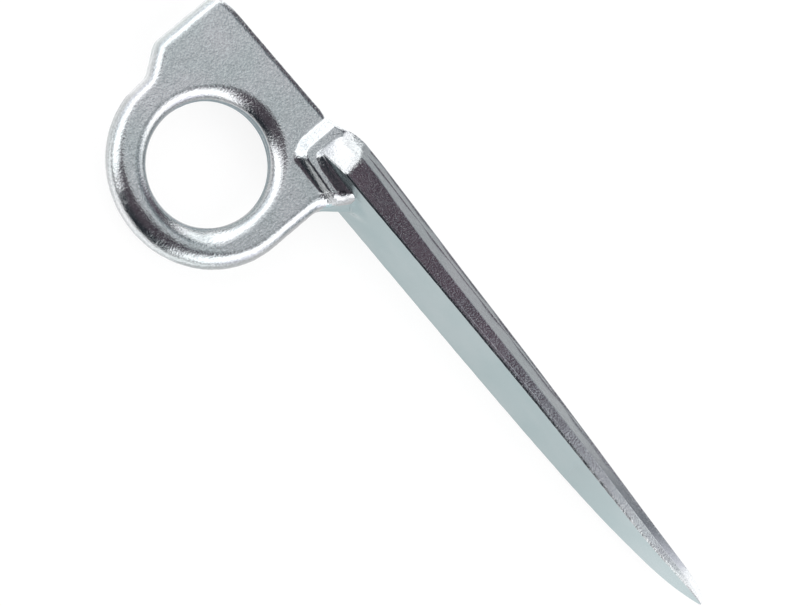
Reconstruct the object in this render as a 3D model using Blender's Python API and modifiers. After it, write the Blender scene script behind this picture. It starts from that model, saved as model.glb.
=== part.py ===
"""A drop-forged steel piton, for Blender 4.5.

It is one solid, symmetric about the middle plane of its eye plate: the plate with its eye,
two stepped pads that thicken the plate towards the blade, and the blade with a flat underside.
The blade runs along +X, the eye hangs towards -Y and the plate faces +Z and -Z.
Outlines are drawn about the centre of the eye. An empty then carries the piton so that the
bottom centre of its bounding box is at the world's origin.
"""

import math

import bmesh
import bpy
from mathutils import Vector

MM = 0.001

# Eye plate
PLATE_THICKNESS = 5.4 * MM
PLATE_EDGE_RADIUS = 1.9 * MM
EYE_WIDTH = 21.6 * MM
EYE_HEIGHT = 22.2 * MM
EYE_LIP_RADIUS = 2.5 * MM
RING_SIDE_WALL = 7.3 * MM
RING_BOTTOM_WALL = 6.55 * MM

# The bar above the eye, from its striking end to the neck
EYE_TO_BLADE = 4.3 * MM
STRIKING_END_REACH = 3.5 * MM
STRIKING_END_HEIGHT = 14.1 * MM
STRIKING_END_RISE = 5.0 * MM
STRIKING_CORNER_RADIUS = 2.3 * MM
BAR_RISE_AT_NECK = 6.1 * MM
NOTCH_HEIGHT = 1.2 * MM
NOTCH_FILLET = 2.0 * MM

# The gusset under the blade
GUSSET_DROP = 5.8 * MM
GUSSET_RUN = 3.3 * MM
GUSSET_FILLET = 6.0 * MM

# The neck's two steps on each face of the plate. A lead is how far a step's foot starts before
# the blade, a drop how far it reaches below the blade's underside, a run how far its slope goes.
STEP_1_RISE = 1.5 * MM
STEP_1_LEAD = 4.4 * MM
STEP_1_DROP = 3.4 * MM
STEP_1_RUN_LEFT = 1.9 * MM
STEP_1_RUN_BOTTOM = 0.8 * MM
STEP_1_CORNER = 1.4 * MM
STEP_2_RISE = 1.5 * MM
STEP_2_LEAD = 0.9 * MM
STEP_2_DROP = 1.35 * MM
STEP_2_RUN = 0.8 * MM
STEP_2_CORNER = 0.6 * MM
NECK_DRAFT = 0.2 * MM
NECK_EDGE_ROUNDING = 0.6 * MM

# The blade. Its root lies over the neck, and its shoulder widens from the neck to full width.
BLADE_LENGTH = 101.2 * MM
BLADE_ROOT = 10.1 * MM
BLADE_WIDTH = 17.6 * MM
BLADE_HEIGHT = 8.55 * MM
BLADE_RISE = 1.65 * MM
BLADE_UPTURN = 1.6 * MM
BLADE_UPTURN_LENGTH = 42.5 * MM
BLADE_PARALLEL = 8.7 * MM
ROOT_RUN = 2.3 * MM
ROOT_HEIGHT = 5.7 * MM
SHOULDER_RUN = 4.2 * MM
SHOULDER_MARGIN = 0.2 * MM
# The shoulder's shares of its run, of its widening and of the blade's height
SHOULDER_PROFILE = (
    (0.0, 0.0, 0.89),
    (0.33, 0.48, 0.95),
    (0.67, 0.86, 0.98),
    (1.0, 1.0, 1.0),
)
SIDE_SHARE = 0.38
SIDE_SHARE_AT_HEAD = 0.58
SIDE_LEAN = math.radians(25)
CROWN_HALF = 1.3 * MM
TIP_WIDTH = 0.9 * MM

# How finely round shapes are drawn, and how far a shape carries on inside its neighbour
ARC_STEP = math.radians(7.5)
SUNK = 0.5 * MM

# Places that follow from the sizes above, measured from the centre of the eye
RING_HALF_WIDTH = EYE_WIDTH / 2 + RING_SIDE_WALL
RING_HALF_HEIGHT = EYE_HEIGHT / 2 + RING_BOTTOM_WALL
BLADE_UNDERSIDE = EYE_HEIGHT / 2 + EYE_TO_BLADE
HEAD_REACH = RING_HALF_WIDTH + STRIKING_END_REACH
HEAD_END_TOP = BLADE_UNDERSIDE + STRIKING_END_RISE
HEAD_END_BOTTOM = HEAD_END_TOP - STRIKING_END_HEIGHT
BAR_TOP_AT_NECK = BLADE_UNDERSIDE + BAR_RISE_AT_NECK
GUSSET_START = BLADE_UNDERSIDE - GUSSET_DROP
GUSSET_REACH = RING_HALF_WIDTH + GUSSET_RUN
BLADE_START = GUSSET_REACH - BLADE_ROOT
TIP_X = BLADE_START + BLADE_LENGTH
TAPER_START = BLADE_START + BLADE_PARALLEL
PLATE_HALF = PLATE_THICKNESS / 2
STEP_1_HALF = PLATE_HALF + STEP_1_RISE
STEP_2_HALF = STEP_1_HALF + STEP_2_RISE


def new_collection(name):
    collection = bpy.data.collections.new(name)
    bpy.context.scene.collection.children.link(collection)
    return collection


def arc_points(centre, radius_x, radius_y, start, end):
    """Points along an arc of an ellipse, both ends included."""
    count = max(2, round(abs(end - start) / ARC_STEP))
    angles = [start + (end - start) * i / count for i in range(count + 1)]
    return [(centre[0] + radius_x * math.cos(a), centre[1] + radius_y * math.sin(a)) for a in angles]


def round_corner(before, corner, after, radius, steps):
    """The corner's fillet: an arc tangent to both of its sides, in the given number of steps."""
    corner = Vector(corner)
    arm_in = (Vector(before) - corner).normalized()
    arm_out = (Vector(after) - corner).normalized()
    half_angle = arm_in.angle(arm_out) / 2
    reach = radius / math.tan(half_angle)
    centre = corner + (arm_in + arm_out).normalized() * radius / math.sin(half_angle)
    first = corner + arm_in * reach - centre
    last = corner + arm_out * reach - centre
    sweep = math.atan2(first.cross(last), first.dot(last))
    start = math.atan2(first.y, first.x)
    angles = [start + sweep * i / steps for i in range(steps + 1)]
    return [tuple(centre + radius * Vector((math.cos(a), math.sin(a)))) for a in angles]


def rounded_polygon(corners, steps):
    """A closed outline. Each corner is x, y and its fillet's radius, which may be nothing."""
    points = []
    for i, (x, y, radius) in enumerate(corners):
        before = corners[i - 1][:2]
        after = corners[(i + 1) % len(corners)][:2]
        if radius:
            points += round_corner(before, (x, y), after, radius, steps)
        else:
            points.append((x, y))
    return points


def mesh_object(name, points, faces, collection):
    mesh = bpy.data.meshes.new(name)
    mesh.from_pydata(points, [], faces)
    shape = bpy.data.objects.new(name, mesh)
    collection.objects.link(shape)
    return shape


def curve_to_mesh(curve_object, collection):
    """The curve's solid as a mesh with its caps welded. The curve itself is removed."""
    bpy.context.view_layer.update()
    graph = bpy.context.evaluated_depsgraph_get()
    mesh = bpy.data.meshes.new_from_object(curve_object.evaluated_get(graph))
    cleaned = bmesh.new()
    cleaned.from_mesh(mesh)
    bmesh.ops.remove_doubles(cleaned, verts=cleaned.verts, dist=0.001 * MM)
    bmesh.ops.recalc_face_normals(cleaned, faces=cleaned.faces)
    cleaned.to_mesh(mesh)
    cleaned.free()
    shape = bpy.data.objects.new(curve_object.name + "_solid", mesh)
    shape.matrix_world = curve_object.matrix_world
    collection.objects.link(shape)
    bpy.data.objects.remove(curve_object)
    return shape


def plate_with_round_edges(name, outline, thickness, edge_radius, collection):
    """A flat plate whose outline is kept: the edge rounding goes inwards from it."""
    curve = bpy.data.curves.new(name, "CURVE")
    curve.dimensions = "2D"
    curve.fill_mode = "BOTH"
    curve.extrude = thickness / 2 - edge_radius
    curve.bevel_depth = edge_radius
    curve.bevel_resolution = 3
    curve.offset = -edge_radius
    spline = curve.splines.new("POLY")
    spline.points.add(len(outline) - 1)
    for point, (x, y) in zip(spline.points, outline):
        point.co = (x, y, 0, 1)
    spline.use_cyclic_u = True
    shape = bpy.data.objects.new(name, curve)
    collection.objects.link(shape)
    return curve_to_mesh(shape, collection)


def plate_outline():
    """The eye's ring, the gusset up to the blade, the bar's top, its striking end and the notch."""
    notch_angle = math.pi - math.asin(NOTCH_HEIGHT / RING_HALF_HEIGHT)
    low = 1.5 * math.pi
    ring = arc_points((0, 0), RING_HALF_WIDTH, RING_HALF_HEIGHT, notch_angle, low)
    ring += arc_points((0, 0), RING_HALF_WIDTH, RING_HALF_HEIGHT, low, 2 * math.pi)[1:]
    under_neck = (RING_HALF_WIDTH, GUSSET_START)
    in_blade = (GUSSET_REACH - 2 * NECK_DRAFT, BLADE_UNDERSIDE + 2 * SUNK)
    gusset = round_corner(ring[-1], under_neck, in_blade, GUSSET_FILLET, 6)
    hidden_in_blade = [in_blade, (GUSSET_REACH - BLADE_ROOT / 2, BAR_TOP_AT_NECK)]
    end_top = (-HEAD_REACH, HEAD_END_TOP)
    end_bottom = (-HEAD_REACH, HEAD_END_BOTTOM)
    top_corner = round_corner(
        hidden_in_blade[-1], end_top, end_bottom, STRIKING_CORNER_RADIUS, 6
    )
    bottom_corner = round_corner(end_top, end_bottom, ring[0], STRIKING_CORNER_RADIUS, 4)
    notch = round_corner(end_bottom, ring[0], ring[2], NOTCH_FILLET, 4)
    return ring[2:] + gusset + hidden_in_blade + top_corner + bottom_corner + notch


def eye_cutter(collection):
    """What the eye leaves out: a turned waist between two round lips, made oval by its scale."""
    lip = min(EYE_LIP_RADIUS, PLATE_HALF)
    outside = PLATE_HALF + SUNK
    rim_x = EYE_WIDTH / 2 + lip
    angles = [math.radians(a) for a in (82, 67, 52, 37, 22, 8)]
    upper = [
        (rim_x - lip * math.cos(a), PLATE_HALF - lip + lip * math.sin(a)) for a in angles
    ]
    profile = [(0, outside), (rim_x, outside)]
    profile += upper + [(x, -z) for x, z in reversed(upper)]
    profile += [(rim_x, -outside), (0, -outside)]
    edges = [(i, i + 1) for i in range(len(profile) - 1)]
    mesh = bpy.data.meshes.new("eye_cutter")
    mesh.from_pydata([(x, 0, z) for x, z in profile], edges, [])
    cutter = bpy.data.objects.new("eye_cutter", mesh)
    collection.objects.link(cutter)
    screw = cutter.modifiers.new("turn", "SCREW")
    screw.steps = 64
    screw.render_steps = 64
    screw.use_merge_vertices = True
    screw.merge_threshold = 0.00001
    cutter.scale.y = EYE_HEIGHT / EYE_WIDTH
    return cutter


def loft(name, sections, collection):
    """A closed solid through sections that have the same number of points."""
    count = len(sections[0])
    points = [point for section in sections for point in section]
    faces = []
    for ring in range(len(sections) - 1):
        low, high = ring * count, (ring + 1) * count
        for i in range(count):
            after = (i + 1) % count
            faces.append((low + i, low + after, high + after, high + i))
    faces.append(tuple(reversed(range(count))))
    faces.append(tuple(range((len(sections) - 1) * count, len(sections) * count)))
    shape = mesh_object(name, points, faces, collection)
    cleaned = bmesh.new()
    cleaned.from_mesh(shape.data)
    bmesh.ops.recalc_face_normals(cleaned, faces=cleaned.faces)
    cleaned.to_mesh(shape.data)
    cleaned.free()
    return shape


def step_outline(left, bottom, top, corner_radius, draft):
    """A pad on the plate: its left and bottom sides show, its right side follows the gusset.

    The top slopes with the bar's top, and is at the given height over the gusset's end.
    """
    slope = GUSSET_DROP / GUSSET_RUN
    wall_x = RING_HALF_WIDTH + (bottom - GUSSET_START) / slope
    top_slope = (BAR_TOP_AT_NECK - HEAD_END_TOP) / (HEAD_REACH + GUSSET_REACH)
    corners = [
        (left, bottom, corner_radius),
        (wall_x - draft, bottom, 0),
        (GUSSET_REACH - draft, BLADE_UNDERSIDE + SUNK, 0),
        (GUSSET_REACH - BLADE_ROOT / 4, top, 0),
        (left, top - top_slope * (GUSSET_REACH - left), corner_radius / 2),
    ]
    return rounded_polygon(corners, 4)


def step(name, low, high, sides, top, corner, draft, collection):
    """A step on both faces, as one loft from low to high.

    The sides are its left, its bottom and how far each slopes. Its slopes carry on a little way
    below its foot, and the edge of its gusset wall is rounded.
    """
    left, bottom, run_left, run_bottom = sides
    levels = []
    for height, wall_draft in (
        (low - SUNK, draft),
        (high - NECK_EDGE_ROUNDING, draft + NECK_DRAFT),
        (high, draft + NECK_DRAFT + NECK_EDGE_ROUNDING),
    ):
        share = (height - low) / (high - low)
        outline = step_outline(
            left + run_left * share,
            bottom + run_bottom * share,
            top - NECK_DRAFT * (1 + share),
            corner * (1.3 - 0.4 * share),
            wall_draft,
        )
        levels.append([(x, y, height) for x, y in outline])
    mirrored = [[(x, y, -z) for x, y, z in level] for level in reversed(levels)]
    return loft(name, mirrored + levels, collection)


def first_step(collection):
    """The L-shaped pad, level with the bar's top."""
    sides = (
        BLADE_START - STEP_1_LEAD,
        BLADE_UNDERSIDE - STEP_1_DROP,
        STEP_1_RUN_LEFT,
        STEP_1_RUN_BOTTOM,
    )
    return step(
        "first_step",
        PLATE_HALF,
        STEP_1_HALF,
        sides,
        BAR_TOP_AT_NECK,
        STEP_1_CORNER,
        NECK_DRAFT,
        collection,
    )


def second_step(collection):
    """The ledge below the blade's root. Its top is hidden in the blade."""
    sides = (
        BLADE_START - STEP_2_LEAD,
        BLADE_UNDERSIDE - STEP_2_DROP,
        STEP_2_RUN,
        STEP_2_RUN,
    )
    return step(
        "second_step",
        STEP_1_HALF,
        STEP_2_HALF,
        sides,
        BLADE_UNDERSIDE + 3 * SUNK,
        STEP_2_CORNER,
        2.5 * NECK_DRAFT,
        collection,
    )


def taper_share(x):
    """How far x lies along the tapering part of the blade, from 0 to 1."""
    return min(1.0, max(0.0, (x - TAPER_START) / (TIP_X - TAPER_START)))


def blade_section(x, half, height):
    """The house-shaped section at x: flat base, leaning sides, sloping roof, narrow crown."""
    along = taper_share(x)
    upturn = max(0.0, 1 - (TIP_X - x) / BLADE_UPTURN_LENGTH)
    base = BLADE_UNDERSIDE + BLADE_RISE * along + BLADE_UPTURN * upturn**4
    side = height * (SIDE_SHARE + (SIDE_SHARE_AT_HEAD - SIDE_SHARE) * (1 - along) ** 6)
    crease = max(half - side * math.tan(SIDE_LEAN), half * 0.6)
    crown = min(CROWN_HALF, crease * 0.4)
    eaves = height * 0.96
    right = [
        (half, base),
        (half + (crease - half) * 0.85, base + side * 0.85),
        (crease + (crown - crease) * 0.1, base + side + (eaves - side) * 0.1),
        (crown, base + eaves),
    ]
    left = [(-z, y) for z, y in reversed(right)]
    return [(x, y, z) for z, y in right + [(0, base + height)] + left]


def tapered_section(x):
    along = taper_share(x)
    half = max(BLADE_WIDTH / 2 * (1 - along**4) ** 0.75, TIP_WIDTH / 2)
    height = BLADE_HEIGHT * max(1 - along, 0.0002) ** 0.4
    return blade_section(x, half, height)


def blade(collection):
    """A loft of sections: root, shoulder, then tapering ones, closer together at the tip."""
    narrow = STEP_2_HALF + SHOULDER_MARGIN
    sections = [
        blade_section(BLADE_START - ROOT_RUN, STEP_1_HALF * 0.86, ROOT_HEIGHT),
        blade_section(BLADE_START - STEP_2_LEAD, STEP_1_HALF * 0.99, BLADE_HEIGHT * 0.82),
    ]
    for run, widening, rise in SHOULDER_PROFILE:
        half = narrow + (BLADE_WIDTH / 2 - narrow) * widening
        sections.append(blade_section(BLADE_START + SHOULDER_RUN * run, half, BLADE_HEIGHT * rise))
    shoulder_end = BLADE_START + SHOULDER_RUN
    steps = 26
    for i in range(1, steps + 1):
        share = math.sin(math.pi / 2 * i / steps)
        sections.append(tapered_section(shoulder_end + (TIP_X - shoulder_end) * share))
    return loft("blade", sections, collection)


def boolean(target, other, operation):
    cut = target.modifiers.new(other.name, "BOOLEAN")
    cut.object = other
    cut.operation = operation
    cut.solver = "EXACT"


def zinc_plated_steel():
    material = bpy.data.materials.new("zinc_plated_steel")
    material.use_nodes = True
    shader = material.node_tree.nodes["Principled BSDF"]
    shader.inputs["Base Color"].default_value = (0.56, 0.58, 0.59, 1)
    shader.inputs["Metallic"].default_value = 1.0
    shader.inputs["Roughness"].default_value = 0.28
    return material


def build():
    for leftover in list(bpy.data.objects):
        bpy.data.objects.remove(leftover)
    piton = new_collection("piton")
    cutters = new_collection("cutters")
    cutters.hide_render = True

    edge_radius = min(PLATE_EDGE_RADIUS, 0.9 * PLATE_HALF)
    forging = plate_with_round_edges(
        "eye_plate", plate_outline(), PLATE_THICKNESS, edge_radius, piton
    )
    forging.name = "piton_forging"
    eye = eye_cutter(cutters)
    added = [first_step(cutters), second_step(cutters), blade(cutters)]
    boolean(forging, eye, "DIFFERENCE")
    for shape in added:
        boolean(forging, shape, "UNION")
    helpers = [eye] + added

    crown_y = BLADE_UNDERSIDE + BLADE_HEIGHT
    middle = Vector(
        ((TIP_X - HEAD_REACH) / 2, (crown_y - RING_HALF_HEIGHT) / 2, -BLADE_WIDTH / 2)
    )
    carrier = bpy.data.objects.new("piton_origin", None)
    carrier.location = -middle
    piton.objects.link(carrier)
    for shape in [forging] + helpers:
        shape.parent = carrier
    for helper in helpers:
        helper.hide_render = True
        helper.display_type = "WIRE"

    forging.data.materials.append(zinc_plated_steel())
    for shape in [forging] + helpers:
        shape.data.shade_smooth()
        shape.data.set_sharp_from_angle(angle=math.radians(30))


build()
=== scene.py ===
import math

import bmesh
import bpy
import numpy as np
from mathutils import Matrix, Vector


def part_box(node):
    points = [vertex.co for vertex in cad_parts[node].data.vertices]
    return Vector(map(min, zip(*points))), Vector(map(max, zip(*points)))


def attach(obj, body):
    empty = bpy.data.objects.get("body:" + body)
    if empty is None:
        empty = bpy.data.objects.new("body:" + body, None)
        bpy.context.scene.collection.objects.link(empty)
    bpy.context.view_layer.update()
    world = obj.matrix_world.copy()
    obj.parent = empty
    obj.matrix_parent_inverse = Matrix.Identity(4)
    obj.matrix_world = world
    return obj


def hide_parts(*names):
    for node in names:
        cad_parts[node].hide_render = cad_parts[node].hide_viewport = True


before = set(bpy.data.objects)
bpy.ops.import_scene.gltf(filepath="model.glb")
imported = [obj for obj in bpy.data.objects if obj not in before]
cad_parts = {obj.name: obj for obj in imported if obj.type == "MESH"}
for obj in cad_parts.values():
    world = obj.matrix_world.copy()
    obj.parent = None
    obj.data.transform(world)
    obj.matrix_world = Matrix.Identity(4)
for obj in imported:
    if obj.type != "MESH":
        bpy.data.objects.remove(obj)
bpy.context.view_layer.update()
print("stage: packed piton loaded")

# All sizes below are in millimetres, measured from the centre of the eye, as in the forging's drawing:
# x runs along the blade, y from the eye to the blade's crown, z out of the eye plate.
mm = 0.001
mergeDistance = 0.0002  # points of a form that lie closer than this are one point
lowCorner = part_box("piton_forging")[0]
eyeInFrame = np.array([lowCorner[0] / mm + 21.6, lowCorner[1] / mm + 17.65, 8.8])


def easedCorner(t, width):  # 0 before the corner, t after it, and a parabola within the width
    bend = (t + width) ** 2 / (4 * width)
    return np.where(t <= -width, 0.0, np.where(t >= width, t, bend))


def slopeBetween(t, footWidth, topWidth):  # climbs from 0 to 1 with a soft foot and a soft top edge
    return easedCorner(t, footWidth) - easedCorner(t - 1, topWidth)


def ramp(x, start, width):  # 0 at the start and 1 a width further, backwards where the width is negative
    return np.clip((x - start) / width, 0, 1)


def softLine(x, xs, ys, blur):  # straight lines through the points, with their corners blurred
    offsets = np.linspace(-2.4, 2.4, 25)
    weights = np.exp(-0.5 * offsets**2)
    samples = np.interp(np.asarray(x)[..., None] + blur * offsets, xs, ys)
    return (samples * weights).sum(axis=-1) / weights.sum()


def rolledBlur(values, reach, width, axis=0):  # a soft blur along one axis that goes on round its ends
    offsets = np.arange(-reach, reach + 1)
    weights = np.exp(-0.5 * (offsets / width) ** 2)
    rolled = (w * np.roll(values, -int(o), axis=axis) for o, w in zip(offsets, weights))
    return sum(rolled) / weights.sum()


def waviness(x, seed, wavelengths, height):  # a sum of sines with fixed phases, for uneven forged edges
    phases = np.random.default_rng(seed).uniform(0, 2 * np.pi, len(wavelengths))
    waves = [np.sin(2 * np.pi * x / w + p) for w, p in zip(wavelengths, phases)]
    return height * np.sum(waves, axis=0) / len(wavelengths)


def gridMesh(name, points, closedAround, closedAlong, slots, slotOfRow=None):
    # points is an array of columns by rows by 3; quads join each point to its neighbours in the grid
    columns, rows = points.shape[:2]
    c = np.arange(columns if closedAround else columns - 1)[:, None]
    r = np.arange(rows if closedAlong else rows - 1)[None, :]
    cNext, rNext = (c + 1) % columns, (r + 1) % rows
    quads = np.stack([c * rows + r, cNext * rows + r, cNext * rows + rNext, c * rows + rNext], axis=-1)
    faces = [tuple(q) for q in quads.reshape(-1, 4).tolist()]
    rowOfFace = np.broadcast_to(r, quads.shape[:2]).ravel()
    if not closedAround:  # flat caps close the two ends
        faces.append(tuple(range(rows)))
        faces.append(tuple(range((columns - 1) * rows, columns * rows))[::-1])
        rowOfFace = np.append(rowOfFace, [0, 0])
    world = (points.reshape(-1, 3) + eyeInFrame) * mm
    mesh = bpy.data.meshes.new(name)
    mesh.from_pydata(world.tolist(), [], faces)
    for material in slots:
        mesh.materials.append(material)
    if slotOfRow is not None:
        mesh.polygons.foreach_set("material_index", slotOfRow[rowOfFace].astype(np.int32))
    tidy = bmesh.new()
    tidy.from_mesh(mesh)
    bmesh.ops.remove_doubles(tidy, verts=tidy.verts, dist=mergeDistance * mm)
    bmesh.ops.recalc_face_normals(tidy, faces=tidy.faces)
    tidy.to_mesh(mesh)
    tidy.free()
    piece = bpy.data.objects.new(name, mesh)
    bpy.context.scene.collection.objects.link(piece)
    return piece


# The blade: sections across it at stations along x, each mirrored to the back, make one closed grid.

blade = {
    "start": 10.2,  # where its end lies hidden in the neck
    "tip": 112.5,
    "halfWidth": 8.8,
    "height": 8.55,
    "underside": 15.4,
    "taperStart": 20.0,
    "rise": 1.65,  # the underside climbs this much towards the tip
    "upturn": 1.95,
    "upturnStart": 70.0,
    "headLift": 0.36,  # the underside starts this much higher at the shoulder
    "sideShare": 0.38,  # the leaning side's share of the height
    "sideShareAtHead": 0.58,
    "sideLean": 25.0,
    "crownHalf": 1.3,
    "crownHalfAtHead": 2.2,
    "crownDrop": 0.04,
    "tipHalf": 0.45,
    "tipFullness": 0.7,  # the outline swells by this much near the tip
    "fullnessAt": 106.5,
    "fullnessWidth": 6,
    "nose": 0.7,  # the length of the rounded end
    "arrisFacet": 0.42,  # the narrow trimmed facet along the arris
    "facetRun": 0.62,
    "facetRise": 0.79,
    "arrisRadius": 0.02,
    # A small step up the side, where the flash was trimmed: how far up it starts, or at what share of a low
    # side, how high and how deep it is, and the place and the length over which it comes in and goes again
    "stepAt": 0.72,
    "stepShare": 0.36,
    "stepHeight": 0.19,
    "stepRadius": 0.02,
    "trimStep": 0.07,
    "trimStart": (41, 6),
    "trimEnd": (84, -14),
    # Two trimmed lines along the roof: the length and the direction of their small risers, and their ends
    "witnessDepth": 0.24,
    "witnessRun": 0.42,
    "witnessRise": 0.91,
    "witnessStart": (15.6, 1),
    "witnessEnd": (104, -12),
    "creaseAt": [11, 14, 60, 112],  # the rounding of the crease between side and roof, at places along x
    "creaseRadii": [0.6, 1.2, 1.0, 0.15],
    # The hollow in which the underside runs down to the gusset's leaning wall
    "wallAt": 22.5,  # the wall's place on the middle line
    "wallSweep": 0.75,  # how fast it turns back beside that, and how soft the turn is
    "wallBend": 1.5,
    "wallSlant": 1.2,  # makes a run along x a distance square to the wall
    "hollowReach": 2.8,
    "hollowDepth": 1.1,
    "hollowSides": (4.8, -3.2),  # outermost place and the length over which it comes in from there
    "hollowStart": (19.4, 1.0),
    "hollowSkin": 0.5,  # only what lies this close to the underside moves
    "stations": 380,
    "stationShares": [0, 0.07, 0.10, 0.86, 0.93, 1],
    "stationDensity": [4.2, 3.6, 1.0, 1.0, 1.6, 3.0],
    "undersideRows": 13,
    # The shoulder, as a line of places along x: half width, height, crown's half width and side's share
    "shoulderX": [10.2, 10.4, 11.0, 12.2, 13.6, 14.8, 15.35, 16.1, 30],
    "shoulderHalf": [3.7, 4.0, 4.7, 5.85, 7.1, 8.18, 8.58, 8.8, 8.8],
    "shoulderHeight": [6.2, 6.45, 6.9, 7.5, 7.95, 8.25, 8.42, 8.55, 8.55],
    "shoulderCrown": [3.2, 3.4, 3.4, 3.3, 3.15, 3.0, 2.5, 2.2, 2.2],
    "shoulderShare": [0.46, 0.46, 0.47, 0.50, 0.55, 0.58, 0.58, 0.58, 0.58],
}


def bladeSizes(x):  # the section's sizes at x
    b = blade
    along = ramp(x, b["taperStart"], b["tip"] - b["taperStart"])
    inHead = x < b["taperStart"]

    def shoulder(key, blur):
        return softLine(x, b["shoulderX"], b[key], blur)

    fullness = b["tipFullness"] * np.exp(-(((x - b["fullnessAt"]) / b["fullnessWidth"]) ** 2))
    taperedHalf = np.maximum(b["halfWidth"] * (1 - along**4) ** 0.75, b["tipHalf"]) + fullness
    half = np.where(inHead, shoulder("shoulderHalf", 0.16), taperedHalf)
    taperedHeight = b["height"] * np.maximum(1 - along, 0.0002) ** 0.4  # never quite nothing at the tip
    height = np.where(inHead, shoulder("shoulderHeight", 0.25), taperedHeight)
    upturn = ramp(x, b["upturnStart"], b["tip"] - b["upturnStart"])
    lift = b["headLift"] * (1 - slopeBetween((x - 11) / 4.5, 0.1, 0.3))
    base = b["underside"] + b["rise"] * along + b["upturn"] * upturn**4 + lift
    taperedShare = b["sideShare"] + (b["sideShareAtHead"] - b["sideShare"]) * (1 - along) ** 6
    side = height * np.where(inHead, shoulder("shoulderShare", 0.3), taperedShare)
    # The side starts upright at the neck and leans fully past the shoulder
    lean = math.tan(math.radians(b["sideLean"])) * slopeBetween((x - 10.4) / 5.2, 0.1, 0.15)
    crease = np.maximum(half - side * lean, half * 0.6)  # never further in than this
    # The crown stays inside the crease, and well inside it near the tip
    narrowing = (b["crownHalf"] - b["crownHalfAtHead"]) * ramp(x, 18, 24)
    crown = np.minimum(shoulder("shoulderCrown", 0.15) + narrowing, crease * np.where(inHead, 0.95, 0.4))
    return half, height, base, side, crease, crown


def roundedProfile(corners, radii, steps):
    # A half section per station. Each corner is a pair of arrays, and an arc tangent to both of its sides
    # takes its place: centre on the bisector, and the points turned evenly from one tangent to the other.
    rows = [np.stack(corners[0], axis=-1)]
    for i in range(1, len(corners) - 1):
        before, corner, after = (np.stack(c, axis=-1) for c in corners[i - 1 : i + 2])
        toBefore, toAfter = before - corner, after - corner
        lengthBefore = np.linalg.norm(toBefore, axis=-1, keepdims=True)
        lengthAfter = np.linalg.norm(toAfter, axis=-1, keepdims=True)
        toBefore, toAfter = toBefore / lengthBefore, toAfter / lengthAfter
        cosine = np.clip((toBefore * toAfter).sum(axis=-1, keepdims=True), -0.99999, 0.99999)
        halfAngle = np.arccos(cosine) / 2
        room = 0.85 * np.minimum(lengthBefore, lengthAfter)  # an arc leaves some of the shorter side
        reach = np.minimum(radii[i - 1][:, None] / np.tan(halfAngle), room)
        radius = reach * np.tan(halfAngle)
        bisector = (toBefore + toAfter) / np.linalg.norm(toBefore + toAfter, axis=-1, keepdims=True)
        centre = corner + bisector * radius / np.sin(halfAngle)
        first, last = corner + toBefore * reach - centre, corner + toAfter * reach - centre
        turn = np.pi - 2 * halfAngle
        for t in np.linspace(0, 1, steps[i - 1]):
            rows.append(centre + (np.sin((1 - t) * turn) * first + np.sin(t * turn) * last) / np.sin(turn))
    rows.append(np.stack(corners[-1], axis=-1))
    return rows


def spread(rows, counts):  # adds evenly spaced rows between the given pairs of rows
    out = []
    for i, row in enumerate(rows[:-1]):
        out.append(row)
        extra = counts.get(i, 0)
        for k in range(1, extra + 1):
            out.append(row + (rows[i + 1] - row) * k / (extra + 1))
    out.append(rows[-1])
    return out


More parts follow.
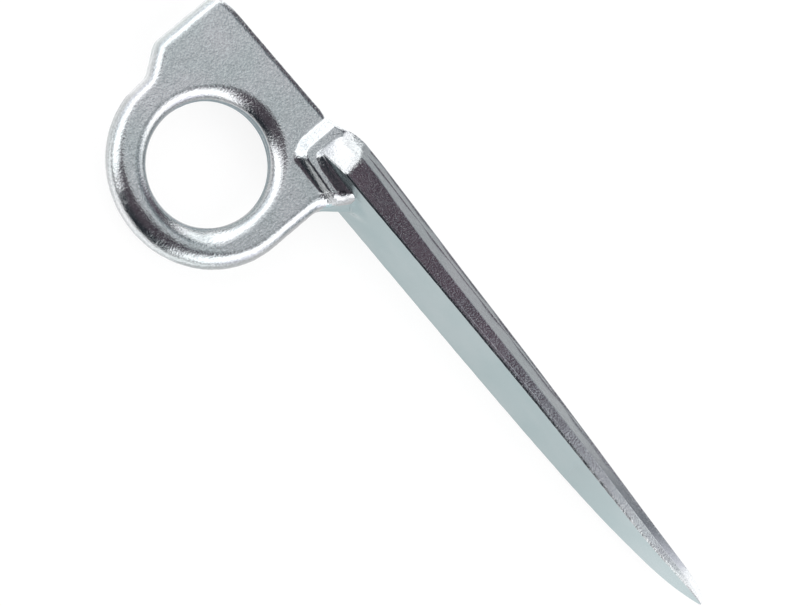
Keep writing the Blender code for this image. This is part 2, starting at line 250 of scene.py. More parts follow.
def buildBlade(slots):
    b = blade
    # Stations are close together at the shoulder and at the tip
    even = np.linspace(0, 1, b["stations"])
    share = np.cumsum(1 / softLine(even, b["stationShares"], b["stationDensity"], 0.015))
    share = (share - share[0]) / (share[-1] - share[0])
    x = b["start"] + (b["tip"] - b["start"]) * share
    half, height, base, side, crease, crown = bladeSizes(x)
    inNose = np.clip((x - b["tip"] + b["nose"]) / b["nose"], 0, 1)
    nose = np.sqrt(np.maximum(1 - inNose**2, 0.04))
    half, height, side, crease, crown = (size * nose for size in (half, height, side, crease, crown))
    fade = ramp(x, b["tip"], -12)
    pastHead = ramp(x, 17, 6)
    lean = (half - crease) / side
    # The flash was trimmed along the arris, which leaves it ragged and a small step above it
    ragged = waviness(x, 3, [2.3, 3.7, 6.1], 0.015) * fade * pastHead
    arris = base + waviness(x, 5, [1.9, 3.1, 5.3, 9.7], 0.025) * fade * pastHead
    small = np.clip(side / 1.2, 0, 1)  # everything on the section shrinks with it near the tip
    stepFoot = np.minimum(b["stepAt"], b["stepShare"] * side)
    stepTop = stepFoot + b["stepHeight"] * small
    trim = b["trimStep"] * (ramp(x, *b["trimStart"]) * ramp(x, *b["trimEnd"]))
    trim = trim * (0.8 + 0.3 * waviness(x, 8, [2.9, 5.3], 1))
    facet = b["arrisFacet"] * small * np.interp(x, [11, 14, 16], [0.6, 0.8, 1.0])
    edge = half - lean * b["facetRise"] * facet + ragged
    middle = np.zeros_like(x)
    corners = [(middle, base), (edge - b["facetRun"] * facet, arris), (edge, arris + b["facetRise"] * facet)]
    corners += [(half - lean * stepFoot, base + stepFoot), (half - lean * stepTop - trim, base + stepTop)]
    corners.append((crease, base + side))
    # One witness line starts well down the roof and meets the crown towards the tip, and one follows the crown
    eaves = base + height * (1 - b["crownDrop"])
    groove = b["witnessDepth"] * ramp(x, *b["witnessStart"]) * ramp(x, *b["witnessEnd"])
    for drop, seed in ((0.55 - 0.38 * ramp(x, 16, 75) ** 0.55, 21), (np.full_like(x, 0.05), 22)):
        uneven = groove * np.clip(0.7 + 0.6 * waviness(x, seed, [7.9, 13.7], 1), 0.1, 1.1) + 0.02 * small
        lineZ, lineY = crown + (crease - crown) * drop, eaves + (base + side - eaves) * drop
        # A small riser, facing forwards
        corners.append((lineZ + b["witnessRun"] * uneven, lineY - b["witnessRise"] * uneven))
        corners.append((lineZ, lineY))
    corners += [(crown, eaves), (middle, base + height)]
    radius = b["arrisRadius"] * (0.25 + 0.75 * fade)
    thin = np.full_like(x, b["stepRadius"])
    creaseRadius = np.interp(x, b["creaseAt"], b["creaseRadii"])
    radii = [radius, radius, thin, thin, creaseRadius, thin, thin, thin, thin, np.full_like(x, 0.25)]
    rows = roundedProfile(corners, radii, [2, 2, 2, 2, 6, 2, 2, 2, 2, 4])
    # More rows across the underside, up the leaning side and on the crown
    rows = spread(rows, {0: b["undersideRows"] - 1, 8: 4, len(rows) - 2: 2})
    profile = np.stack(rows, axis=1)  # stations by rows by (z, y)
    stations = np.broadcast_to(x[:, None], profile.shape[:2])
    front = np.stack([stations, profile[..., 1], profile[..., 0]], axis=-1)
    # The underside runs down into the gusset's leaning wall in a hollow curve: away is the distance from it
    turnedBack = b["wallSweep"] * (np.hypot(front[..., 2], b["wallBend"]) - b["wallBend"])
    away = (front[..., 0] + turnedBack - b["wallAt"]) / b["wallSlant"]
    near = np.clip(1 - away / b["hollowReach"], 0, 1)
    inside = ramp(front[..., 2], *b["hollowSides"])
    under = np.clip(1 - (front[..., 1] - base[:, None]) / b["hollowSkin"], 0, 1)
    under = under * ramp(front[..., 0], *b["hollowStart"])
    curve = 1 - np.sqrt(1 - 0.98 * near**2)
    front[..., 1] -= b["hollowDepth"] * curve * inside**2 * (3 - 2 * inside) * under
    back = front[:, ::-1] * [1, 1, -1]
    points = np.concatenate([front, back[:, 1:-1]], axis=1)
    slotOfRow = np.zeros(points.shape[1], int)  # the underside takes the painted shade
    slotOfRow[: b["undersideRows"]] = 1
    slotOfRow[-b["undersideRows"] :] = 1
    return gridMesh("bladeForm", points, False, True, slots, slotOfRow)


# The eye plate with its neck: columns go round the eye, and each one runs from the rim over the face into the
# eye and along the back out again, which makes one closed grid too.

plate = {
    "halfThickness": 2.7,
    "ringHalfWidth": 18.1,
    "ringHalfHeight": 17.65,
    "eyeHalfWidth": 10.8,
    "eyeHalfHeight": 11.1,
    # The rim's corners past the ring: the gusset with the slant of its wall, what lies hidden in the blade, the
    # neck's top, and the bar's end down to the notch, with the radii of its three corners
    "gussetFoot": (18.15, 9.9),
    "gussetTop": (22.6, 15.3),
    "gussetRadius": 2.6,
    "gussetSlant": 0.824,
    "hidden": [(22.6, 15.3), (22.9, 16.4), (22.5, 18.0), (20.0, 20.2), (12.4, 20.6)],
    "neckTop": [(11.2, 22.2), (10.4, 22.3), (9.5, 21.95), (8.6, 21.5), (7.2, 21.25), (3.0, 21.05)],
    "bar": [(3.0, 21.05), (-21.45, 20.35), (-21.65, 6.3), (-18.0, 1.2), (-18.0, -2.6)],
    "barRadii": (2.2, 2.5, 2.6),
    # The side walls lean in by this share of their height: little, and much at the gusset
    "draftAngles": [0, 27, 30, 34, 37, 40, 360],
    "drafts": [0.04, 0.05, 0.20, 0.40, 0.40, 0.04, 0.04],
    "leastWall": 0.12,
    "flashHeight": 0.08,  # the trimmed parting line round the rim
    "flashWidth": 0.35,
    "eyeFlashHeight": 0.06,  # the same in the eye
    "eyeFlashWidth": 0.12,
    # The rim's rounding by the angle round the eye, in degrees: its height, and how far it reaches in
    "rimAngles": [0, 20, 27, 34, 38, 46, 62, 70, 76, 90, 130, 140, 160, 175, 200, 235, 270, 310, 340, 360],
    "rimRises": [2.4, 2.3, 1.9, 1.6, 1.3, 1.3, 1.2, 1.3, 2.05, 2.05,
                 2.05, 1.9, 2.0, 1.9, 2.1, 2.4, 2.5, 2.5, 2.4, 2.4],
    "rimReaches": [2.4, 2.3, 2.5, 3.1, 1.0, 1.0, 1.2, 1.2, 1.2, 1.2,
                   1.3, 1.9, 2.0, 1.9, 2.1, 2.8, 3.6, 2.9, 2.5, 2.4],
    # Where the rounding starts: 0 is upright, and more leaves a crisp edge, as along the bar and the gusset
    "rimStarts": [0, 0, 8, 36, 20, 0, 0, 20, 54, 54, 54, 0, 0, 0, 0, 0, 0, 0, 0, 0],
    # The eye's lip in the same way, with its squareness: 1 is round, and more is closer to a bevel
    "lipAngles": [0, 20, 40, 60, 90, 120, 140, 180, 230, 270, 300, 320, 340, 360],
    "lipReaches": [2.3, 2.4, 2.6, 2.9, 3.1, 2.9, 2.6, 2.6, 2.5, 2.9, 3.4, 3.6, 2.9, 2.3],
    "lipBevels": [1.0, 1.0, 1.05, 1.2, 1.3, 1.2, 1.05, 1.0, 1.0, 1.0, 1.2, 1.5, 1.2, 1.0],
    "lipRises": [2.5, 2.5, 2.2, 1.7, 1.45, 1.7, 2.2, 2.5, 2.5, 2.5, 2.5, 2.5, 2.5, 2.5],
    # Two steps of the neck. left: the foot and the top of the left side. bottom: the same for the lower side,
    # at x = 13, and fall is their slope. corners: the radii where the sides meet. hollow: how soft the lower
    # side's foot is at the places hollowAt, and edge the same for its top. flare: how steeply the foot turns
    # up on the left of x = 12.6.
    "steps": [
        {"left": (6.85, 8.8), "bottom": (12.1, 13.1), "fall": (0.07, 0.07), "corners": (3.0, 1.6), "rise": 1.3,
         "hollowAt": [8.5, 17.0], "hollow": [1.0, 0.22], "edge": 0.22, "flare": 0},
        {"left": (10.4, 11.1), "bottom": (14.12, 15.35), "fall": (0.08, 0.04), "corners": (0.6, 0.3), "rise": 0.75,
         "hollowAt": [8.5, 17.0], "hollow": [0.14, 0.14], "edge": 0.20, "flare": 0.22},
    ],
    "stepsEnd": (16.0, 0.8),  # the upper step ends here, inside the blade
    # The gusset's painted-shade part: how far in from its wall, and its limits along x, y and from half thickness
    "shadeMargin": 0.9,
    "shadeLean": 0.55,
    "shadeLimits": (18.4, 10.2, 2.3),
    # How the grid's columns gather round the eye, and its rows where the steps bend
    "columns": 440,
    "columnAngles": [0, 20, 26, 78, 84, 130, 134, 142, 150, 158, 182, 190, 360],
    "columnDensity": [1.1, 1.1, 2.9, 2.9, 1.2, 1.2, 2.2, 2.2, 1.4, 2.0, 2.0, 1.0, 1.0],
    "flatRows": 40,
    "trialPlaces": 400,
    "rowPull": 5.0,
    "mostBend": 6,
}


def filletPoints(before, corner, after, radius, count=24):  # an arc tangent to both sides of the corner
    before, corner, after = (np.array(p, float) for p in (before, corner, after))
    armIn = (before - corner) / np.linalg.norm(before - corner)
    armOut = (after - corner) / np.linalg.norm(after - corner)
    halfAngle = math.acos(np.clip(armIn @ armOut, -1, 1)) / 2
    middle = (armIn + armOut) / np.linalg.norm(armIn + armOut)
    centre = corner + middle * radius / math.sin(halfAngle)
    first = corner + armIn * radius / math.tan(halfAngle) - centre
    last = corner + armOut * radius / math.tan(halfAngle) - centre
    sweep = math.atan2(first[0] * last[1] - first[1] * last[0], first @ last)
    angles = math.atan2(first[1], first[0]) + np.linspace(0, sweep, count)
    return centre + radius * np.stack([np.cos(angles), np.sin(angles)], axis=-1)


def plateOutline():  # the rim as seen square on, anticlockwise from the ring's right side
    p = plate
    wide, tall = p["ringHalfWidth"], p["ringHalfHeight"]
    gusset = filletPoints((wide, 0), p["gussetFoot"], p["gussetTop"], p["gussetRadius"])
    barEnd = [filletPoints(*p["bar"][i : i + 3], radius) for i, radius in enumerate(p["barRadii"])]
    ringTurn = np.radians(np.linspace(190, 360, 120))
    ring = np.stack([wide * np.cos(ringTurn), tall * np.sin(ringTurn)], axis=-1)
    corners = np.concatenate([[[wide, 0]], gusset, p["hidden"], p["neckTop"], *barEnd, ring])
    # Even steps along the line, then a blur over half a millimetre
    steps = np.linalg.norm(np.diff(corners, axis=0, append=corners[:1]), axis=1)
    at = np.concatenate([[0], np.cumsum(steps)])
    closed = np.concatenate([corners, corners[:1]])
    even = np.arange(0, at[-1], 0.05)
    line = np.stack([np.interp(even, at, closed[:, k]) for k in (0, 1)], axis=-1)
    return rolledBlur(line, 24, 7.0)


def insideCorner(x, y, left, bottom, radius):  # the distance inside a square corner rounded to the radius
    u, w = left + radius - x, bottom + radius - y
    return radius - np.hypot(np.maximum(u, 0), np.maximum(w, 0)) - np.minimum(np.maximum(u, w), 0)


def stepHeight(x, y, step):
    # 0 outside a step's foot, 1 on its top: an even slope on the left that turns, round the corner, into a
    # lower side with a hollow at its foot
    sideWidth = 0.10  # how soft the left side's foot and top are
    radius, topRadius = step["corners"]
    footLine, topLine = (b - f * (x - 13) for b, f in zip(step["bottom"], step["fall"]))
    footLine = footLine + step["flare"] * np.maximum(12.6 - x, 0)
    foot = insideCorner(x, y, step["left"][0], footLine, radius)
    top = insideCorner(x, y, step["left"][1], topLine, topRadius)
    upward, leftward = footLine + radius - y, step["left"][0] + radius - x
    cornerTurn = np.arctan2(upward, np.maximum(leftward, 0.001)) / (np.pi / 2)  # 0 on the left, 1 below
    lower = np.clip(cornerTurn / 0.55 - 0.6, 0, 1)  # the change runs from 0.33 to 0.88 of the turn
    lower = lower**2 * (3 - 2 * lower)
    hollow = np.interp(x, step["hollowAt"], step["hollow"])
    footWidth = sideWidth + (hollow - sideWidth) * lower
    edgeWidth = sideWidth + (step["edge"] - sideWidth) * lower
    return slopeBetween(foot / np.maximum(foot - top, 0.05), footWidth, edgeWidth)


def faceHeight(x, y):  # how far the face stands from the middle plane
    lower, upper = plate["steps"]
    first = stepHeight(x, y, lower)
    second = stepHeight(x, y, upper) * (1 - ramp(y, *plate["stepsEnd"]))
    return plate["halfThickness"] + lower["rise"] * first + upper["rise"] * second


def buildPlate(slots):
    p = plate
    line = plateOutline()
    angle = np.unwrap(np.arctan2(line[:, 1], line[:, 0]))
    order = np.argsort(angle)
    angle, line = angle[order], line[order]
    # Columns go round the eye, closer together at the neck and at the striking end's corners
    even = np.linspace(0, 360, 3601)
    wish = softLine(even, p["columnAngles"], p["columnDensity"], 1.5)
    total = np.concatenate([[0], np.cumsum((wish[1:] + wish[:-1]) / 2)])
    columns = p["columns"]
    degrees = np.interp(np.arange(columns) / columns * total[-1], total, even)
    turn = np.radians(degrees)
    wrapped = angle[0] + np.mod(turn - angle[0], 2 * np.pi)
    around = np.concatenate([angle, [angle[0] + 2 * np.pi]])
    closed = np.concatenate([line, line[:1]])
    rim = np.stack([np.interp(wrapped, around, closed[:, k]) for k in (0, 1)], axis=-1)
    lineSlope = np.gradient(closed, axis=0)
    slope = np.stack([np.interp(wrapped, around, lineSlope[:, k]) for k in (0, 1)], axis=-1)
    inward = np.stack([-slope[:, 1], slope[:, 0]], axis=-1)
    inward /= np.linalg.norm(inward, axis=1, keepdims=True)

    def byAngle(angles, values, blur):
        return softLine(degrees, p[angles], p[values], blur)[:, None]

    uneven = waviness(degrees, 11, [9, 14.4, 22.5, 40], 0.08)[:, None]
    rise = byAngle("rimAngles", "rimRises", 2.0) + uneven
    reach = byAngle("rimAngles", "rimReaches", 2.0) + uneven
    draft = byAngle("draftAngles", "drafts", 0.6)
    crisp = np.radians(byAngle("rimAngles", "rimStarts", 1.0))
    lipReach = byAngle("lipAngles", "lipReaches", 4.0)
    lipBevel = byAngle("lipAngles", "lipBevels", 4.0)
    lipRise = byAngle("lipAngles", "lipRises", 4.0)

    # Seats of the rows: where the rim's rounding ends, and where the eye's lip starts
    waist = np.stack([p["eyeHalfWidth"] * np.cos(turn), p["eyeHalfHeight"] * np.sin(turn)], axis=-1)
    outward = np.stack([np.cos(turn) / p["eyeHalfWidth"], np.sin(turn) / p["eyeHalfHeight"]], axis=-1)
    outward /= np.linalg.norm(outward, axis=1, keepdims=True)
    lipEdge = waist + outward * lipReach
    flatStart = rim + inward * reach

    # Rows across the flat gather where the steps bend, column by column: the bend is taken at many trial
    # places, and blurred so that neighbouring rows and columns stay even
    trial = np.linspace(0, 1, p["trialPlaces"])
    path = flatStart[:, None] + (lipEdge - flatStart)[:, None] * trial[None, :, None]
    height = faceHeight(path[..., 0], path[..., 1])
    stepLength = np.linalg.norm(lipEdge - flatStart, axis=1)[:, None] / (len(trial) - 1)
    climb = np.gradient(height, axis=1) / stepLength
    bend = np.abs(np.gradient(climb, axis=1)) / stepLength
    weight = 1 + p["rowPull"] * np.sqrt(np.minimum(bend, p["mostBend"]))
    weight = rolledBlur(rolledBlur(weight, 12, 5.0, axis=1), 6, 2.5)
    halfway = (weight[:, 1:] + weight[:, :-1]) / 2
    sumOfWeight = np.concatenate([np.zeros((columns, 1)), np.cumsum(halfway, axis=1)], axis=1)
    sumOfWeight /= sumOfWeight[:, -1:]
    goals = np.linspace(0, 1, p["flatRows"] + 2)[1:-1]
    nearest = (sumOfWeight[:, None, :] < goals[None, :, None]).sum(axis=2)
    low = np.take_along_axis(sumOfWeight, nearest - 1, axis=1)
    high = np.take_along_axis(sumOfWeight, nearest, axis=1)
    seat = (trial[nearest - 1] + (goals - low) / np.maximum(high - low, 1e-9) * (trial[1] - trial[0]))[..., None]
    flat = flatStart[:, None] + (lipEdge - flatStart)[:, None] * seat

    # The rim: a wall with a little draft and a trimmed flash, and then a rounding
    quarter = crisp + (np.pi / 2 - crisp) * np.linspace(0, 1, 13)[1:]
    topOfWall = faceHeight(*(rim + inward * 0.02).T)[:, None]  # taken just inside the rim
    wallHeight = np.maximum(topOfWall - rise * (1 - np.sin(crisp)), p["leastWall"])
    wallZ = wallHeight * np.linspace(0, 1, 5)
    flashRise = p["flashHeight"] * (1 + 0.5 * waviness(degrees, 7, [3, 5, 9, 15], 1)[:, None])
    flash = flashRise * np.exp(-((wallZ / p["flashWidth"]) ** 2))
    wall = rim[:, None] + inward[:, None] * (draft * wallZ - flash)[..., None]
    flashEnd = flash[:, -1:] * np.cos(quarter) ** 6
    depth = draft * wallHeight + (reach - draft * wallHeight) * (1 - np.cos(quarter) / np.cos(crisp)) - flashEnd
    quarterAt = rim[:, None] + inward[:, None] * depth[..., None]
    quarterTop = faceHeight(quarterAt[..., 0], quarterAt[..., 1])
    quarterZ = wallHeight + (quarterTop - wallHeight) * (np.sin(quarter) - np.sin(crisp)) / (1 - np.sin(crisp))

    # The eye's lip and its waist, with the flash line at half thickness
    lipTurn = np.radians(np.linspace(90, 5, 14))
    lipBack = lipReach * (1 - np.cos(lipTurn) ** lipBevel)
    lipAt = waist[:, None] + outward[:, None] * lipBack[..., None]
    lipZ = p["halfThickness"] - lipRise + lipRise * np.sin(lipTurn) ** lipBevel
    waistZ = np.minimum(np.array([0.24, 0.12, 0.0]), lipZ[:, -1:])
    ridge = p["eyeFlashHeight"] * np.exp(-((waistZ / p["eyeFlashWidth"]) ** 2))
    ridge = ridge * (1 + 0.4 * waviness(degrees, 9, [4, 7.5, 12, 30], 1)[:, None])
    waistAt = waist[:, None] + outward[:, None] * (0.02 - ridge)[..., None]

    places = np.concatenate([wall, quarterAt, flat, lipAt, waistAt], axis=1)
    heights = np.concatenate([wallZ, quarterZ, faceHeight(flat[..., 0], flat[..., 1]), lipZ, waistZ], axis=1)
    front = np.concatenate([places, heights[..., None]], axis=-1)
    back = front[:, ::-1][:, 1:-1] * [1, 1, -1]
    points = np.concatenate([front, back], axis=1)
    form = gridMesh("plateForm", points, True, True, slots)
    # The gusset's leaning wall takes the same painted shade as the blade's underside
    centres = np.empty(len(form.data.polygons) * 3)
    form.data.polygons.foreach_get("center", centres)
    x, y, z = (centres.reshape(-1, 3) / mm - eyeInFrame).T
    topX, topY = p["gussetTop"]
    pastWall = x - topX + (topY - y) * p["gussetSlant"]
    margin = p["shadeMargin"] + p["shadeLean"] * (p["halfThickness"] - np.abs(z))
    leastX, leastY, mostZ = p["shadeLimits"]
    paintedShade = (x > leastX) & (pastWall > -margin) & (y > leastY) & (np.abs(z) < mostZ)
    form.data.polygons.foreach_set("material_index", paintedShade.astype(np.int32))
    return form


def joinForms(name, first, second):  # one closed skin from two closed forms
    sharpAbove = 13  # edges that bend by more degrees than this are shaded sharp
    union = first.modifiers.new("union", "BOOLEAN")
    union.operation = "UNION"
    union.solver = "MANIFOLD"
    union.object = second
    graph = bpy.context.evaluated_depsgraph_get()
    mesh = bpy.data.meshes.new_from_object(first.evaluated_get(graph))
    for form in (first, second):
        bpy.data.objects.remove(form)
    piece = bpy.data.objects.new(name, mesh)
    bpy.context.scene.collection.objects.link(piece)
    mesh.shade_smooth()
    mesh.set_sharp_from_angle(angle=math.radians(sharpAbove))
    return piece


def linearFrom(hexText):  # an sRGB hex colour as the linear values that the shaders want
    values = [int(hexText[i : i + 2], 16) / 255 for i in (0, 2, 4)]
    return tuple(v / 12.92 if v <= 0.04045 else ((v + 0.055) / 1.055) ** 2.4 for v in values) + (1.0,)


def addNode(tree, kind, settings=None, links=None):  # a node, its own settings and sockets, and what feeds it
    node = tree.nodes.new("ShaderNode" + kind)
    for key, value in (settings or {}).items():
        if isinstance(key, int) or key in node.inputs:
            node.inputs[key].default_value = value
        else:
            setattr(node, key, value)
    for socket, source in (links or {}).items():
        tree.links.new(source, node.inputs[socket])
    return node


def newMaterial(name):
    material = bpy.data.materials.new(name)
    material.use_nodes = True
    material.node_tree.nodes.clear()
    return material, material.node_tree


def forgedZincPlate():
    # Drop-forged steel, descaled and bright zinc plated: a cool silver with a fine pebbled skin, so that
    # reflections are clear but break up at their edges. Pebbles are 0.35 mm, swells 3 mm, and the tint's
    # patches 10 mm.
    material, tree = newMaterial("bright zinc plated forged steel")
    place = addNode(tree, "TexCoord").outputs["Object"]
    pebbles = addNode(tree, "TexNoise", {"Scale": 2900, "Detail": 3, "Roughness": 0.6}, {"Vector": place})
    swell = addNode(tree, "TexNoise", {"Scale": 330, "Detail": 2, "Roughness": 0.5}, {"Vector": place})
    bloom = addNode(tree, "TexNoise", {"Scale": 95, "Detail": 2, "Roughness": 0.5}, {"Vector": place})
    tint = addNode(tree, "ValToRGB", links={"Fac": bloom.outputs["Fac"]})
    for element, spot, hexColour in zip(tint.color_ramp.elements, (0.36, 0.64), ("A7ACAD", "AFB0B2")):
        element.position, element.color = spot, linearFrom(hexColour)
    # In a map range, sockets 1 and 2 are the range that comes in, and 3 and 4 the one that goes out
    grain = addNode(tree, "MapRange", {1: 0.3, 2: 0.7, 3: 0.83, 4: 1.14}, {0: pebbles.outputs["Fac"]})
    mottled = addNode(tree, "VectorMath", {"operation": "SCALE"}, {0: tint.outputs["Color"], 3: grain.outputs[0]})
    dull = addNode(tree, "MapRange", {1: 0.3, 2: 0.7, 3: 0.12, 4: 0.2}, {0: pebbles.outputs["Fac"]})
    relief = addNode(tree, "Bump", {"Strength": 1.0, "Distance": 0.000055}, {"Height": pebbles.outputs["Fac"]})
    waves = addNode(
        tree,
        "Bump",
        {"Strength": 1.0, "Distance": 0.00004},
        {"Height": swell.outputs["Fac"], "Normal": relief.outputs[0]},
    )
    shader = addNode(
        tree,
        "BsdfPrincipled",
        {"Metallic": 1.0},
        {"Base Color": mottled.outputs[0], "Roughness": dull.outputs[0], "Normal": waves.outputs[0]},
    )
    addNode(tree, "OutputMaterial", links={"Surface": shader.outputs[0]})
    return material


def shadedZincCopy():
    # The blade's flat underside and the gusset's wall: a darker, greener copy of the plated steel with a
    # gentler, more even bump. This is painted shade, for the duller reflection that these faces show.
    material, tree = newMaterial("bright zinc plated steel with painted shade")
    place = addNode(tree, "TexCoord").outputs["Object"]
    soft = addNode(tree, "TexNoise", {"Scale": 110, "Detail": 2, "Roughness": 0.4}, {"Vector": place})
    # Its tint is the painted shade: darker and greener than the forged plate's
    tint = addNode(tree, "ValToRGB", links={"Fac": soft.outputs["Fac"]})
    for element, spot, hexColour in zip(tint.color_ramp.elements, (0.3, 0.7), ("98ABAE", "A2B1B4")):
        element.position, element.color = spot, linearFrom(hexColour)
    waves = addNode(tree, "Bump", {"Strength": 0.3, "Distance": 0.00006}, {"Height": soft.outputs["Fac"]})
    shader = addNode(
        tree,
        "BsdfPrincipled",
        {"Metallic": 1.0, "Roughness": 0.24},
        {"Base Color": tint.outputs["Color"], "Normal": waves.outputs[0]},
    )
    addNode(tree, "OutputMaterial", links={"Surface": shader.outputs[0]})
    return material


# The second slot is the plated steel with painted shade, for the underside and the gusset's wall
slots = [forgedZincPlate(), shadedZincCopy()]
plateForm = buildPlate(slots)
print("stage: eye plate", len(plateForm.data.polygons), "faces")
bladeForm = buildBlade(slots)
print("stage: blade", len(bladeForm.data.polygons), "faces")
forging = joinForms("pitonSkin", plateForm, bladeForm)
forging.data.calc_loop_triangles()
print("stage: joined,", len(forging.data.loop_triangles), "triangles")
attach(forging, "root")
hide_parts("piton_forging")


# The studio: camera, two lamps, a white sweep, and the tent of cards that the metal reflects.

studio = {
    "view": (-0.102, -0.292),  # x and y of the direction from the piton to the camera
    "turn": 51.0,  # the blade's fall across the picture
    "distance": 3000.0,
    "frameWidth": 137.36,
    "pictureCentre": (197.0, -138.4),  # from the eye, in pixels of the picture
    "pixel": 0.17,  # in millimetres
    "floorWhite": 0.85,
    "roomLight": 0.45,  # how strongly the room lights the sweep; the camera and the metal see it as plain white
    "boxPlace": (0.62, 0.0, 0.46),
    "boxSize": (0.8, 1.5),
    "boxPower": 9.0,
    "tentRadius": 0.7,
    "cardLift": 0.0005,  # how far the floor cards lie above the sweep
    # Shades of the cards: places along x in metres, each with its colour
    "shades": {
        "fromRight": [(0.27, "90909A"), (0.38, "FFFFFF"), (0.59, "FFFFFF"), (0.63, "C8C8D0"), (0.72, "C8C8D0")],
        "behindRight": [(0.29, "A8AAB2"), (0.40, "FFFFFF")],
        "fromLeft": [(-0.72, "C4C6CA"), (-0.61, "C4C6CA"), (-0.59, "FFFFFF"), (-0.37, "FFFFFF"), (-0.25, "707078")],
        "paleToGrey": [(-0.10, "F6F8FA"), (0.14, "989EA1")],
        "darkToWhite": [
            (-0.3, "4C5259"), (-0.04, "4C5259"), (0.02, "543440"), (0.10, "543A4A"), (0.12, "5A4A56"),
            (0.15, "8C8E98"), (0.17, "9EA0AA"), (0.225, "E2E4EC"), (0.26, "FFFFFF"), (0.3, "FFFFFF"),
        ],
        "slateToWhite": [(-0.3, "5E6A70"), (0.02, "5E6A70"), (0.05, "6E6C72"), (0.14, "8A8A90"), (0.3, "FFFFFF")],
        "tip": [(0.036, "E6E6E6"), (0.062, "FFFFFF")],
        # Painted shade of the sweep behind the blade: grey near the piton, with a darker band, then white
        "shadowGreys": [
            (-0.034, "909294"), (0.033, "909294"), (0.046, "66686E"), (0.054, "66686E"), (0.063, "BCBCC4"),
            (0.071, "FFFFFF"), (0.2, "FFFFFF"),
        ],
    },
    # The tent: white walls on both sides, and grey cards and dark flags in the gap over the piton. Each card
    # has its name, its ranges in degrees from straight up towards +y and sideways towards +x, its shade or its
    # one colour, its strength, and how near it stands if that isn't the tent's radius.
    "tent": [
        ("wallRight", (-62, 46), (25, 90), "fromRight", 3.0),
        ("wallRightFront", (-90, -62), (25, 90), "fromRight", 1.15),
        ("wallRightBehind", (46, 90), (25, 90), "behindRight", 2.2),
        ("wallLeft", (-64, 64), (-90, -22), "fromLeft", 3.0),
        ("wallLeftFront", (-90, -64), (-90, -22), "fromLeft", 1.9),
        ("wallLeftBehind", (64, 90), (-90, -22), "fromLeft", 2.4),
        ("horizonLeft", (-89, -76), (-70, -22), "343A42", 1.0, 0.68),
        ("greyCard", (5, 31), (-22, 25), "paleToGrey", 1.66),
        ("flagOverhead", (-39, 5), (-22, 25), "5E545E", 1.0),
        ("flagFront", (-79, -39), (-22, 25), "343A42", 1.0),
        ("slateCard", (31, 46), (-22, 25), "8E9AA2", 1.0),
        ("wallBehindLeft", (46, 90), (-22, -11), "FFFFFF", 3.0),
        ("flagBehind", (46, 82), (-11, 25), "darkToWhite", 1.5),
        ("stripFront", (-90, -79), (-22, 25), "FFFFFF", 1.2),
        ("stripBehind", (82, 90), (-11, 25), "slateToWhite", 3.0),
    ],
    # The cards that lie on the sweep: white ones in front, behind and beside the ring and at the tip, and
    # darker ones beside the neck and behind the blade, which are painted shade: the sweep's shadow near the
    # piton as the metal sees it. Their ranges are along x and y, in metres.
    "floorCards": [
        ("reflectorFront", (-0.4, 0.4), (-0.5, -0.029), "FFFFFF", 2.0),
        ("reflectorRing", (-0.2, -0.031), (-0.029, -0.004), "FFFFFF", 1.35),
        ("reflectorEnd", (-0.2, -0.057), (-0.004, 0.023), "FFFFFF", 1.6),
        # Painted shade under the bar, as the metal sees the sweep there
        ("shadeUnder", (-0.057, -0.034), (0.012, 0.026), "A2B2BC", 1.0),
        ("reflectorBehind", (-0.4, -0.032), (0.026, 0.5), "FFFFFF", 2.3),
        # More painted shade under the bar, in a paler teal
        ("shadowUnderBar", (-0.057, -0.034), (0.001, 0.012), "BCCCD2", 1.0),
        ("reflectorTip", (0.036, 0.08), (0.0, 0.018), "tip", 1.25),
        # Painted shade on the sweep behind the blade
        ("shadowBehindBlade", (-0.032, 0.4), (0.026, 0.5), "shadowGreys", 2.4),
    ],
}


def placeCamera():
    s = studio
    viewX, viewY = s["view"]
    view = Vector((viewX, viewY, math.sqrt(1 - viewX**2 - viewY**2)))
    right = (Vector((1, 0, 0)) - view * view.x).normalized()
    up = view.cross(right)
    turn = math.radians(s["turn"])
    pictureRight = math.cos(turn) * right + math.sin(turn) * up
    pictureUp = -math.sin(turn) * right + math.cos(turn) * up
    shiftRight, shiftUp = s["pictureCentre"]
    middle = Vector(eyeInFrame * mm) + s["pixel"] * mm * (shiftRight * pictureRight + shiftUp * pictureUp)
    camera = bpy.data.objects.new("camera", bpy.data.cameras.new("camera"))
    bpy.context.scene.collection.objects.link(camera)
    camera.data.sensor_width = 36
    camera.data.lens = 36 * s["distance"] / s["frameWidth"]
    camera.data.clip_end = 20
    turned = Matrix((pictureRight, pictureUp, view)).transposed().to_4x4()
    camera.matrix_world = Matrix.Translation(middle + s["distance"] * mm * view) @ turned
    bpy.context.scene.camera = camera


def seenDirectly(tree):  # 1 for what the camera, a mirror or a clear body looks at, and 0 for plain lighting
    path = addNode(tree, "LightPath")
    seen = path.outputs["Is Camera Ray"]
    for way in ("Is Glossy Ray", "Is Transmission Ray"):
        seen = addNode(tree, "Math", {"operation": "MAXIMUM"}, {0: seen, 1: path.outputs[way]}).outputs[0]
    return seen


def floorMaterial():
    # White paper sweep: it shows as white to the camera and in the metal, and still takes a soft shadow.
    material, tree = newMaterial("white paper sweep")
    paper = addNode(tree, "BsdfDiffuse", {"Color": (0.9, 0.9, 0.9, 1)})
    glow = addNode(tree, "Emission", {"Color": (1, 1, 1, 1), "Strength": 1.0})
    seen = seenDirectly(tree)
    share = addNode(tree, "Math", {"operation": "MULTIPLY", 1: studio["floorWhite"]}, {0: seen})
    mix = addNode(tree, "MixShader", links={0: share.outputs[0], 1: paper.outputs[0], 2: glow.outputs[0]})
    addNode(tree, "OutputMaterial", links={"Surface": mix.outputs[0]})
    return material


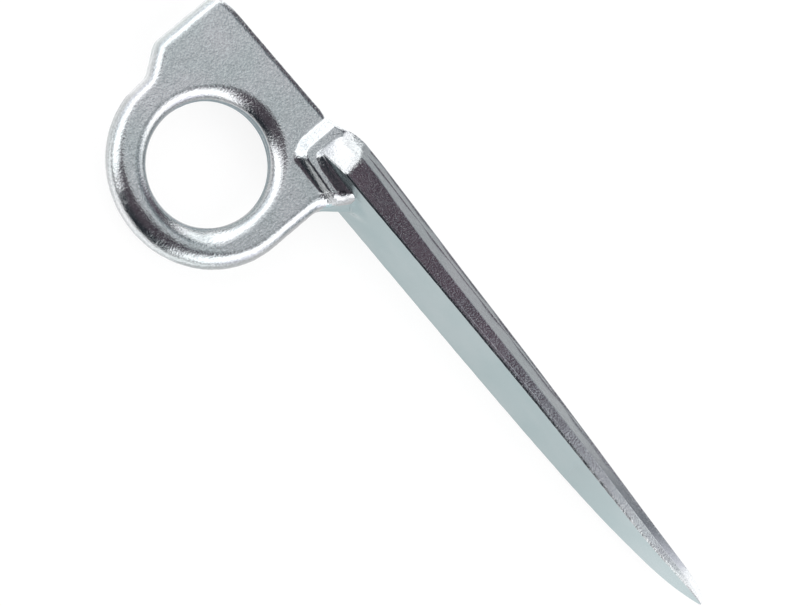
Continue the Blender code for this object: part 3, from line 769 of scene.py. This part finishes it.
def cardMaterial(name, shade, strength):
    # Cloth and cards that only the metal sees. A card shades evenly from one stop to the next.
    material, tree = newMaterial(name)
    stops = studio["shades"].get(shade, [(-0.3, shade), (0.3, shade)])
    first, last = stops[0][0], stops[-1][0]
    place = addNode(tree, "TexCoord").outputs["Object"]
    across = addNode(tree, "SeparateXYZ", links={"Vector": place}).outputs["X"]
    fall = addNode(tree, "MapRange", {1: first, 2: last}, {0: across})
    colours = addNode(tree, "ValToRGB", links={"Fac": fall.outputs[0]})
    elements = colours.color_ramp.elements
    for spot, hexColour in stops[1:-1]:
        elements.new((spot - first) / (last - first)).color = linearFrom(hexColour)
    elements[0].color, elements[-1].color = linearFrom(stops[0][1]), linearFrom(stops[-1][1])
    glow = addNode(tree, "Emission", {"Strength": strength}, {"Color": colours.outputs["Color"]})
    addNode(tree, "OutputMaterial", links={"Surface": glow.outputs[0]})
    return material


def cardFrom(name, points, shade, strength):  # a card from a grid of points
    rows = points.shape[1]
    i = (np.arange(points.shape[0] - 1)[:, None] * rows + np.arange(rows - 1)[None, :]).ravel()
    faces = np.stack([i, i + 1, i + rows + 1, i + rows], axis=-1).tolist()
    mesh = bpy.data.meshes.new(name)
    mesh.from_pydata(points.reshape(-1, 3).tolist(), [], faces)
    mesh.materials.append(cardMaterial(name, shade, strength))
    card = bpy.data.objects.new(name, mesh)
    bpy.context.scene.collection.objects.link(card)
    for way in ("visible_camera", "visible_diffuse", "visible_shadow", "visible_transmission"):
        setattr(card, way, False)


def tentCard(name, tipped, sideways, shade, strength, distance=studio["tentRadius"]):
    # Part of a dome round the piton, so every point is equally far
    a = np.radians(np.linspace(*tipped, 33))[:, None]
    b = np.radians(np.linspace(*sideways, 33))[None, :]
    points = [np.sin(b) + 0 * a, np.cos(b) * np.sin(a), np.cos(b) * np.cos(a)]
    cardFrom(name, distance * np.stack(points, axis=-1), shade, strength)


def floorCard(name, xs, ys, shade, strength):
    x, y = np.meshgrid(np.linspace(*xs, 3), np.linspace(*ys, 3), indexing="ij")
    cardFrom(name, np.stack([x, y, studio["cardLift"] + 0 * x], axis=-1), shade, strength)


def softBox(name, centre):
    lamp = bpy.data.lights.new(name, "AREA")
    lamp.shape = "RECTANGLE"
    lamp.size, lamp.size_y = studio["boxSize"]
    lamp.energy = studio["boxPower"]
    box = bpy.data.objects.new(name, lamp)
    bpy.context.scene.collection.objects.link(box)
    box.location = centre
    box.rotation_euler = (-Vector(centre)).to_track_quat("-Z", "Y").to_euler()


def buildStudio():
    sweep = bpy.data.meshes.new("sweep")
    sweep.from_pydata([(-4, -4, 0), (4, -4, 0), (4, 4, 0), (-4, 4, 0)], [], [(0, 1, 2, 3)])
    sweep.materials.append(floorMaterial())
    floor = bpy.data.objects.new("sweep", sweep)
    bpy.context.scene.collection.objects.link(floor)
    boxX, boxY, boxZ = studio["boxPlace"]
    softBox("boxRight", (boxX, boxY, boxZ))
    softBox("boxLeft", (-boxX, boxY, boxZ))
    for card in studio["tent"]:
        tentCard(*card)
    for card in studio["floorCards"]:
        floorCard(*card)
    world = bpy.data.worlds.new("paleRoom")
    world.use_nodes = True
    tree = world.node_tree
    tree.nodes.clear()
    seen = seenDirectly(tree)
    strength = addNode(tree, "MapRange", {1: 0.0, 2: 1.0, 3: studio["roomLight"], 4: 1.0}, {0: seen})
    room = addNode(tree, "Background", {"Color": (1, 1, 1, 1)}, {"Strength": strength.outputs[0]})
    addNode(tree, "OutputWorld", links={"Surface": room.outputs[0]})
    bpy.context.scene.world = world


placeCamera()
buildStudio()
bpy.context.scene.view_settings.view_transform = "Standard"
print("stage: camera, lamps and floor")
